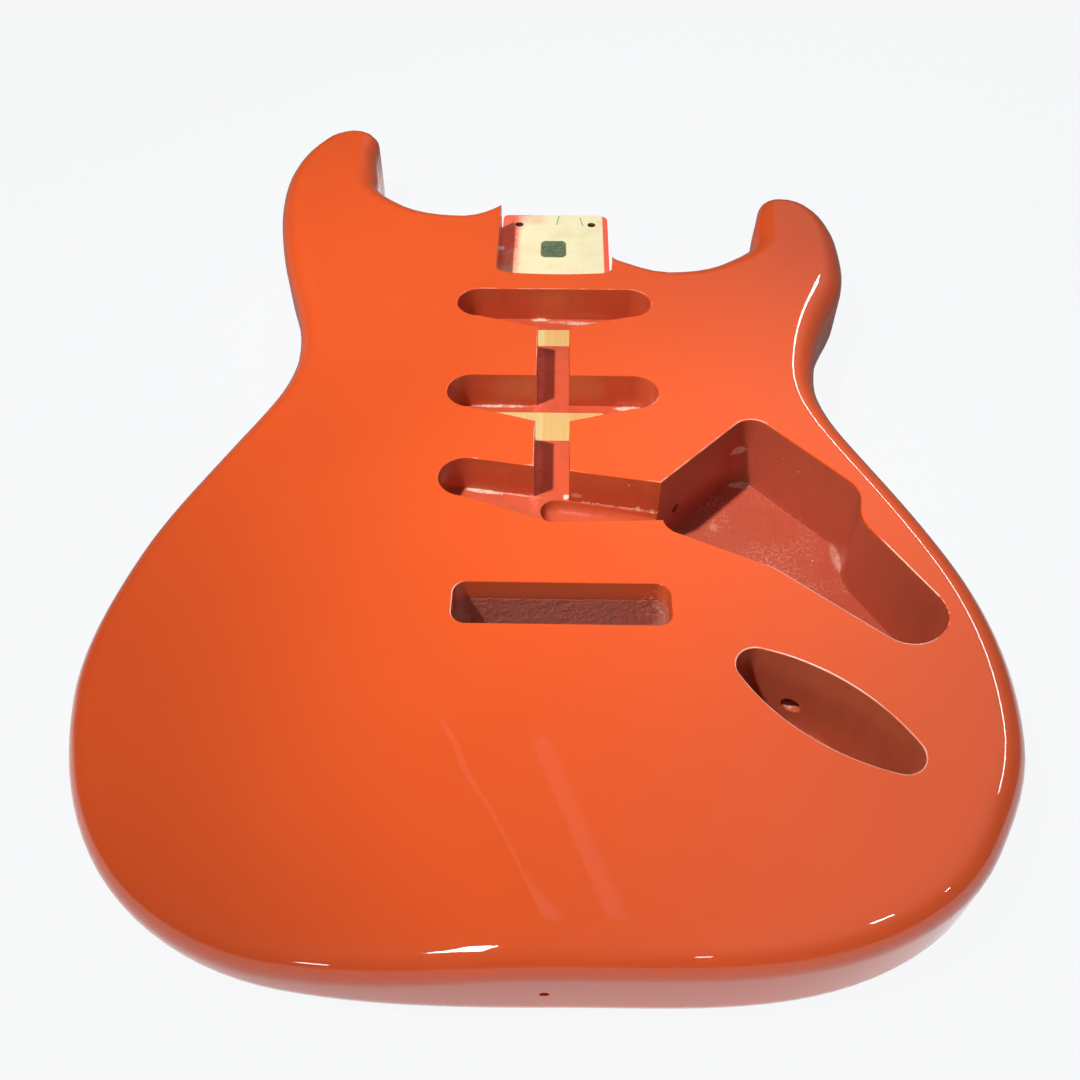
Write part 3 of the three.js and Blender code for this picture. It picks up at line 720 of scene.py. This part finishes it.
# %% [markdown]
# ## The tremolo slot's walls
# The lip at the top of the slot is smooth paint with little gloss, and the wall below it is
# rough, greyish and speckled, with flakes at the treble end. The line between them wanders, so
# it is drawn by a box with a strong wobble and not by the edge of a face.

# %% Lip, rough wall and flakes
LIP_PAINT = (0.66, 0.092, 0.014, 1)
ROUGH_PAINT = (0.60, 0.165, 0.105, 1)
SLOT_LIP = ((-40, -222, 30), (46, -184, 46))
SLOT_WALL = ((-40, -222, -1), (46, -184, 34.6))
FLAKED_END = ((39, -189, 32), (6, 6, 7))
SLOT_SPECKS = {"Scale": 420.0, "Size": 0.14, "Share": 0.06}
SLOT_SPECK_STRENGTH = 0.6
FLAKE_RANGE = (0.54, 0.6)
FLAKE_STRENGTH = 0.8

slot_lip = box_mask(tree, place, *SLOT_LIP, softness=0.3)
colour = tint(tree, slot_lip, colour, LIP_PAINT)
slot_wall = box_mask(tree, place, *SLOT_WALL, softness=0.4, wobble=2.6)
colour = tint(tree, slot_wall, colour, ROUGH_PAINT)
speck = use(tree, specks, Vector=place, **SLOT_SPECKS)["Mask"]
colour = lay(tree, colour, times(tree, speck, slot_wall), SLOT_SPECK_STRENGTH, CREAM)
flaked_end = blot_mask(tree, place, *FLAKED_END, softness=0.4, wobble=0.6)
flakes = times(tree, flaked_end, ramp(tree, cloud, *FLAKE_RANGE))
colour = lay(tree, colour, flakes, FLAKE_STRENGTH, PALE)

# %% Gloss and bumps in the cavities
FULL_GLOSS = 0.75
GLOSS_LOST = 0.73
LIP_DULLNESS = 0.85
SLOT_BUMPS = 1.4
OTHER_BUMPS = 0.16
BUMP_NOISE = (520.0, 5.0)
CAVITY_RELIEF = {"Distance": 0.0012, "Strength": 0.5}
CAVITY_FINISH = {
    "Roughness": 0.55, "Specular IOR Level": 0.25, "Coat Roughness": 0.25, "Coat IOR": 1.5,
}

dull = calc(tree, "MAXIMUM", bare, slot_wall)
dull = calc(tree, "MAXIMUM", dull, times(tree, slot_lip, LIP_DULLNESS))
gloss = calc(tree, "SUBTRACT", FULL_GLOSS, times(tree, dull, GLOSS_LOST))
height = calc(tree, "ADD", times(tree, slot_wall, SLOT_BUMPS), OTHER_BUMPS)
bumps = times(tree, noise(tree, place, *BUMP_NOISE), height)
relief = put(tree, "ShaderNodeBump", {"Height": bumps, **CAVITY_RELIEF})
wire(tree, shader, {
    "Base Color": colour, "Coat Weight": gloss, "Normal": relief.outputs[0], **CAVITY_FINISH,
})
print("cavity lacquer:", len(tree.nodes), "nodes")

# %% [markdown]
# ## The pocket's floor
# The pocket's floor was masked before spraying, so it shows pale bare wood with red overspray
# creeping in from the sides, a plain green ink patch, two short pen strokes by the screw holes
# and a drop of filler. The screw holes below the floor are painted dark, as painted shade over
# the bare wood. Soft boxes with wobbling edges draw each mark over the grain, so no picture is
# needed.

# %% Pale wood of the pocket
BARE_WOOD = (0.95, 0.89, 0.56, 1)
WOOD_STREAK = (0.92, 0.78, 0.46, 1)
WOOD_CLOUD = (0.86, 0.66, 0.36, 1)
STREAK_RANGE = (0.45, 0.8, 0.0, 0.4)
STAIN_NOISE = (75.0, 5.0, 0.65)
STAIN_RANGE = (0.48, 0.72, 0.0, 0.45)

tree = pocket_wood.node_tree
shader = tree.nodes["Principled BSDF"]
place = place_of(tree)
grain = use(tree, wood_grain, Vector=place)
streaks = ramp(tree, grain["Fine"], *STREAK_RANGE)
colour = tint(tree, streaks, BARE_WOOD, WOOD_STREAK)
stains = ramp(tree, noise(tree, place, *STAIN_NOISE), *STAIN_RANGE)
colour = tint(tree, stains, colour, WOOD_CLOUD)

# %% Overspray on the pocket's floor
OVERSPRAY = (0.96, 0.135, 0.075, 1)
PINK_SPRAY = (0.93, 0.40, 0.28, 1)
SPRAY_NOISE = (300.0, 5.0, 0.7)
THIN_RANGE = (0.35, 0.65, 0.6)
SPRAYS = (
    ((-40, 64, 20), (-17.0, 90, 40), 2.2, 0.8, PINK_SPRAY),
    ((-40, 10, 20), (-18.8, 90, 40), 1.4, 0.7, PINK_SPRAY),
    ((-22, 70, 20), (-5, 90, 40), 3.5, 0.5, PINK_SPRAY),
    ((-40, 46, 20), (-19.8, 90, 40), 1.4, 0.95, OVERSPRAY),
    ((-40, 30, 20), (-20.5, 90, 40), 4.0, 0.9, OVERSPRAY),
    ((-40, 10, 20), (-21.5, 40, 40), 3.0, 0.45, OVERSPRAY),
    ((-30, 77.2, 20), (-14, 90, 40), 0.4, 0.9, OVERSPRAY),
    ((24.9, 10, 20), (40, 90, 40), 0.25, 1.0, OVERSPRAY),
    ((14, 78.3, 20), (40, 90, 40), 0.3, 0.9, OVERSPRAY),
)

cloud = noise(tree, place, *SPRAY_NOISE)
thin = ramp(tree, cloud, *THIN_RANGE)
for low, high, softness, strength, shade in SPRAYS:
    spray = box_mask(tree, place, low, high, softness=softness, wobble=softness)
    if strength < 1:
        spray = times(tree, spray, times(tree, thin, strength))
    colour = tint(tree, spray, colour, shade)
print("sprays:", len(SPRAYS))

# %% Ink patch and pen strokes
GREEN_INK = (0.045, 0.105, 0.058, 1)
GREEN_PEN = (0.08, 0.32, 0.13, 1)
INK_SQUARE = ((-7.3, 38.2, 28), (5.7, 53.2, 29))
INK_ROUND = ((-0.8, 45.7, 28.5), (8.1, 9.3, 3.0))
PEN_STROKE = ((-0.3, -4.2, 28), (0.3, 4.2, 29))
PEN_FRAMES = ((1.3, 73.0, 8), (13.8, 71.8, -10))
WORN_RANGE = (0.3, 0.75, 1.0, 0.8)
PEN_STRENGTH = 0.8

square = box_mask(tree, place, *INK_SQUARE, softness=0.3, wobble=0.4)
round_off = blot_mask(tree, place, *INK_ROUND, softness=0.05, wobble=0.1)
ink = times(tree, square, round_off)
worn = ramp(tree, cloud, *WORN_RANGE)
colour = tint(tree, times(tree, ink, worn), colour, GREEN_INK)
for pen_frame in PEN_FRAMES:
    pen = turned_about(tree, place, *pen_frame)
    stroke = box_mask(tree, pen, *PEN_STROKE, softness=0.15, wobble=0.2)
    colour = lay(tree, colour, stroke, PEN_STRENGTH, GREEN_PEN)

# %% A drop of filler, and painted shade in the screw holes
FILLER = (1.0, 0.98, 0.95, 1)
HOLE_SHADE = (0.16, 0.075, 0.04, 1)
FILLER_DROP = ((-27.6, 46.2, 28.6), (1.5, 1.8, 1.5))
BELOW_FLOOR = ((-40, -10, 0), (40, 90, 28.35))
WOOD_PORES = {"Distance": 0.0003, "Strength": 0.3}
WOOD_FINISH = {"Roughness": 0.55, "Specular IOR Level": 0.3}

drop = blot_mask(tree, place, *FILLER_DROP, softness=0.1, wobble=0.3)
colour = tint(tree, drop, colour, FILLER)
# painted shade: everything below the floor, in the screw holes, is drawn dark
colour = tint(tree, box_mask(tree, place, *BELOW_FLOOR, softness=0.1), colour, HOLE_SHADE)
pores = put(tree, "ShaderNodeBump", {"Height": grain["Fine"], **WOOD_PORES})
wire(tree, shader, {"Base Color": colour, "Normal": pores.outputs[0], **WOOD_FINISH})
print("pocket wood:", len(tree.nodes), "nodes")

# %% [markdown]
# ## Rim lacquer
# On the rounded rims the paint is thin. The pale cream lines along them are partly paint worn
# through to the sealer and partly painted highlights of the rounded rims, most of all along the
# near rims of the control and jack cavities and the left rims of the channel. The mask also asks
# how far the rim faces up, so the lines lie on the crest. A table gives each stretch its box, its
# strength and how much of it is pale at least.

# %% Rim material
# pale lines on the rims: partly worn paint, partly painted highlights of the rounded rims
WORN_AND_HIGHLIT_RIMS = (
    ((78, -236, 40), (140, -168, 46), 1.0, 1.0),
    ((60, -275, 40), (125, -205, 46), 0.8, 0.5),
    ((-9, -140, 40), (-5, -30, 46), 0.8, 0.2),
    ((-45, -25, 40), (60, 0, 46), 0.35, 0.0),
    ((-36, -206, 40), (-32.4, -190, 46), 1.0, 1.0),
    ((38, -150, 40), (90, -90, 46), 0.7, 0.2),
)
RUB_NOISE = (130.0, 5.0)
RUB_RANGE = (0.42, 0.56)
CREST_FACES_UP = (0.5, 0.7)

tree = rim_lacquer.node_tree
shader = tree.nodes["Principled BSDF"]
place = place_of(tree)
colour = clouded(tree, place)
cloud = noise(tree, place, *RUB_NOISE)
crest = ramp(tree, facing_up(tree), *CREST_FACES_UP)
for low, high, strength, least in WORN_AND_HIGHLIT_RIMS:
    through = ramp(tree, cloud, *RUB_RANGE, least)
    stretch = box_mask(tree, place, low, high, softness=3.0)
    worn_and_highlit = times(tree, stretch, times(tree, through, crest))
    colour = lay(tree, colour, worn_and_highlit, strength, CREAM)
wire(tree, shader, {"Base Color": colour, **LACQUER_FINISH})
print("rim lacquer:", len(tree.nodes), "nodes")

# %% [markdown]
# ## Floor
# The body lies on its back on a plain white floor. The floor takes the body's shadow, shows
# pale to the camera, and shows pale in the lacquer next to the body. Further off it is dark in
# the lacquer, as the room is, except for one bright patch by the long horn. A floor that is
# only bright would wash the colour out of every side, so two ellipses and Light Path say where
# it glows.

# %% Floor sheet
FLOOR_SIZE = 8
FLOOR_DROP = 0.0002
PAPER_GLOW = (0.94, 0.95, 0.96, 1)
PAPER_FINISH = {
    "Base Color": (0.86, 0.87, 0.88, 1), "Roughness": 0.9, "Specular IOR Level": 0.0,
}
FAR_FLOOR = (0.10, 0.10, 0.10, 1)

leave_all()
bpy.ops.mesh.primitive_plane_add(size=FLOOR_SIZE, location=(0, 0, -FLOOR_DROP))
floor = bpy.context.object
floor.name = "floor"
paper = bpy.data.materials.new("pale_floor")
paper.use_nodes = True
floor.data.materials.append(paper)
floor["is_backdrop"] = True

tree = paper.node_tree
paper_shader = tree.nodes["Principled BSDF"]
wire(tree, paper_shader, PAPER_FINISH)
glow = put(tree, "ShaderNodeEmission", {"Color": PAPER_GLOW, "Strength": 1.0})
dark = put(tree, "ShaderNodeBsdfDiffuse", {"Color": FAR_FLOOR})
seen_by = tree.nodes.new("ShaderNodeLightPath").outputs


# %% Where the floor glows in the lacquer, and how much of it the camera sees
def from_middle(tree, location, scale):
    spread = put(tree, "ShaderNodeMapping", {
        "Vector": place_of(tree), "Location": location, "Scale": scale,
    })
    return length_of(tree, spread.outputs[0])


BY_THE_BODY = ((-0.105, 1.73, 0), (3.5, 4.8, 0))
BY_THE_HORN = ((1.6, -2.2, 0), (22, 18, 0))
BODY_EDGE = (1.0, 1.4)
HORN_EDGE = (0.8, 1.5)
BODY_GLOW = (0.9, 0.12)
HORN_GLOW = (0.9, 0.0)
CAMERA_SHARE = 0.97

body_reach = from_middle(tree, *BY_THE_BODY)
by_body = ramp(tree, body_reach, *BODY_EDGE, *BODY_GLOW)
by_horn = ramp(tree, from_middle(tree, *BY_THE_HORN), *HORN_EDGE, *HORN_GLOW)
bright = calc(tree, "MAXIMUM", by_body, by_horn)
mirrored = times(tree, bright, seen_by["Is Glossy Ray"])
share = calc(tree, "MAXIMUM", mirrored, times(tree, seen_by["Is Camera Ray"], CAMERA_SHARE))
far_off = ramp(tree, body_reach, *BODY_EDGE)
in_gloss = times(tree, far_off, seen_by["Is Glossy Ray"])

# %% Join the floor's shaders
def mixed(tree, share, first, second):
    return put(tree, "ShaderNodeMixShader", {
        0: share, 1: first.outputs[0], 2: second.outputs[0],
    })


lit = mixed(tree, in_gloss, paper_shader, dark)
both = mixed(tree, share, lit, glow)
wire(tree, tree.nodes["Material Output"], {"Surface": both.outputs[0]})
print("floor:", FLOOR_SIZE, "m wide,", len(tree.nodes), "nodes")

# %% [markdown]
# ## Lamps
# The shadows in the wiring channel show one firm lamp, high on the left. A single beam from
# there leaves the sides of the body too bright or too dark, so three beams share its place and
# each lights its own part, and two weak ones fill the neck end and the butt. The lacquer also
# mirrors lamps that hardly light it: a long strip far off to the right draws the thin bright
# line along the edge, a window behind the camera lies on the butt with four small lamps about
# it, and two dim tubes draw the faint streaks on the lower bout. So the beams don't show in the
# gloss, and the panels and tubes light nothing.

# %% Lamp helpers
def way_to(azimuth, height):
    turn, rise = math.radians(azimuth), math.radians(height)
    return Vector((
        math.sin(turn) * math.cos(rise), math.cos(turn) * math.cos(rise), math.sin(rise),
    ))


def hang(name, kind, place):
    lamp = bpy.data.objects.new(name, bpy.data.lights.new(name, kind))
    bpy.context.scene.collection.objects.link(lamp)
    lamp.location = place
    return lamp


def aim(lamp, target):
    way = Vector(target) - lamp.location
    lamp.rotation_euler = way.to_track_quat("-Z", "Y").to_euler()


# %% Beams: name, place, target, cone in degrees, radius and power
LAMP_PLACE = (-0.529, -0.415, 1.178)
BEAMS = (
    ("bass_beam", LAMP_PLACE, (-0.167, -0.082, 0.044), 32.4, 0.035, 35.0),
    ("neck_beam", LAMP_PLACE, (0.070, 0.089, 0.044), 29.5, 0.035, 33.8),
    ("treble_beam", LAMP_PLACE, (0.148, -0.245, 0.044), 23.5, 0.035, 45.5),
    ("neck_fill", (-0.05, 1.2, 0.75), (-0.06, 0.13, 0.044), 18, 0.10, 20),
    ("front_beam", (0.10, -1.40, 0.50), (0, -0.33, 0.02), 40, 0.15, 6),
)

for name, lamp_place, target, cone, radius, power in BEAMS:
    lamp = hang(name, "SPOT", lamp_place)
    aim(lamp, target)
    lamp.data.spot_size = math.radians(cone)
    lamp.data.spot_blend = 1.0
    lamp.data.shadow_soft_size = radius
    lamp.data.energy = power
    lamp.visible_glossy = False
    print("beam", name, "power", power, "W")


# %% Panels: name, azimuth, height, distance, size, glow and target
def shape_panel(lamp, width, height, glow):
    lamp.data.shape = "RECTANGLE"
    lamp.data.size, lamp.data.size_y = width, height
    lamp.data.energy = glow * width * height * math.pi ** 2
    lamp.visible_diffuse = False
    print("panel", lamp.name, "power", round(lamp.data.energy, 4), "W")


PANELS = (
    ("strip", 52, 33, 1.6, (1.5, 0.05), 9, (0.02, -0.2, 0.04)),
    ("window", -151.4, 41, 1.5, (0.26, 0.30), 17, (-0.026, -0.318, 0.039)),
    ("low_window", -150.7, 6, 1.5, (0.08, 0.05), 10, (-0.067, -0.318, 0.029)),
    ("side_lamp", 129.3, 38.9, 1.5, (0.14, 0.07), 15, (0.094, -0.308, 0.043)),
    ("door_gap", 168.7, 21.7, 1.5, (0.05, 0.05), 8, (0.044, -0.319, 0.041)),
    ("far_lamp", 113.8, 20.6, 1.5, (0.06, 0.05), 10, (0.115, -0.299, 0.042)),
)

for name, azimuth, height, distance, size, glow_level, target in PANELS:
    lamp = hang(name, "AREA", Vector(target) + way_to(azimuth, height) * distance)
    aim(lamp, target)
    shape_panel(lamp, *size, glow_level)

# %% Tubes: two points of the front in millimetres, and the way each mirrors
TUBE_WIDTH = 0.03
TUBE_DISTANCE = 1.5
FRONT_MIDDLE = Vector((0.0, -0.28, 0.044))
TUBES = (
    ("first_streak", (-47.0, -254.4, -15.4, 58.4), (6.0, -316.3, 3.3, 69.1), 0.14),
    ("second_streak", (-2.4, -253.8, -1.1, 59.0), (20.7, -311.9, 9.9, 68.0), 0.12),
)

for name, *ends, glow_level in TUBES:
    first, last = (
        Vector((*millimetres(x, y), TOP)) + way_to(azimuth, height) * TUBE_DISTANCE
        for x, y, azimuth, height in ends
    )
    lamp = hang(name, "AREA", (first + last) / 2)
    back = (lamp.location - FRONT_MIDDLE).normalized()
    across = (last - first).normalized().cross(back).normalized()
    turn = Matrix((across, back.cross(across), back)).transposed()
    lamp.rotation_euler = turn.to_euler()
    shape_panel(lamp, TUBE_WIDTH, (last - first).length, glow_level)

# %% [markdown]
# ## The room
# A low, even light from all round stands for the pale room. The camera sees a plain backdrop,
# and the lacquer mirrors a room that is brighter on the treble side and high up. One world
# colour can't do all three, so Light Path chooses between them.

# %% World
ROOM_LIGHT = 0.17
TREBLE_SIDE = (-0.12, 0.35, 0.06, 0.8)
HIGH_UP = (0.3, 0.65, 0.15)

world = bpy.data.worlds.new("room")
bpy.context.scene.world = world
world.use_nodes = True
tree = world.node_tree
even_light = tree.nodes["Background"]
wire(tree, even_light, {"Color": (1.0, 1.0, 1.0, 1), "Strength": ROOM_LIGHT})
backdrop = put(tree, "ShaderNodeBackground", {"Color": PAPER_GLOW, "Strength": 1.0})
seen_by = tree.nodes.new("ShaderNodeLightPath").outputs
direction = tree.nodes.new("ShaderNodeTexCoord").outputs["Generated"]
sideways, _, upwards = put(tree, "ShaderNodeSeparateXYZ", {0: direction}).outputs
side = ramp(tree, sideways, *TREBLE_SIDE, "SMOOTHSTEP")
higher = ramp(tree, upwards, *HIGH_UP)
mirror_room = put(tree, "ShaderNodeBackground", {"Strength": times(tree, side, higher)})
room = mixed(tree, seen_by["Is Glossy Ray"], even_light, mirror_room)
both = mixed(tree, seen_by["Is Camera Ray"], room, backdrop)
wire(tree, tree.nodes["World Output"], {"Surface": both.outputs[0]})
bpy.context.scene.view_settings.view_transform = "Standard"
print("room light:", ROOM_LIGHT)

# %% [markdown]
# ## Sizes
# The box of the finished skin is printed, to show the size of the body after its finish.

# %% Finish
low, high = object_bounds()
print("visual box:", [round(v, 4) for v in low], [round(v, 4) for v in high])
